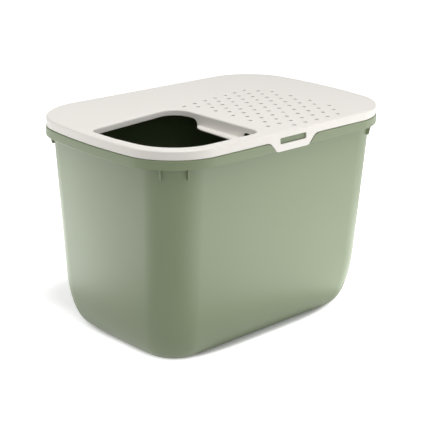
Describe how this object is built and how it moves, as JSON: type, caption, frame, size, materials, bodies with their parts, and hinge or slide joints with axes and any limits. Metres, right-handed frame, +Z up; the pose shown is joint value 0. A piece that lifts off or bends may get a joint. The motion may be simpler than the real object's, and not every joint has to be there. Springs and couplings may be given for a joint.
{
  "type": "top entry litter box",
  "caption": "Open tub with a lift-off lid that has a rounded corner entry, a perforated deck and snap latches at the front and rear.",
  "frame": {"origin": "middle of the overall footprint, on the floor under the feet", "axes": "+X along the length towards the sieve deck, away from the entry; +Y towards the rear; +Z up"},
  "size_m": [0.587, 0.392, 0.395],
  "materials": {
    "tub_plastic": "satin sage green polypropylene, softly rounded edges",
    "lid_plastic": "satin warm off-white polypropylene with a very fine mould grain"
  },
  "bodies": {
    "tub": {"tub": "tub_plastic"},
    "lid": {"lid": "lid_plastic"},
    "front_latch": {"front_latch": "lid_plastic"},
    "rear_latch": {"rear_latch": "lid_plastic"}
  },
  "joints": [
    {"name": "lid_lift", "type": "slide", "parent": "tub", "child": "lid", "axis": [0, 0, 1], "range_m": [0, 0.08]},
    {"name": "front_latch_flex", "type": "hinge", "parent": "lid", "child": "front_latch", "pos_m": [0, -0.195, 0.379], "axis": [-1, 0, 0], "range_deg": [-4, 12], "stiffness_Nm_per_rad": 0.9},
    {"name": "rear_latch_flex", "type": "hinge", "parent": "lid", "child": "rear_latch", "pos_m": [0, 0.195, 0.379], "axis": [1, 0, 0], "range_deg": [-4, 12], "stiffness_Nm_per_rad": 0.9}
  ]
}
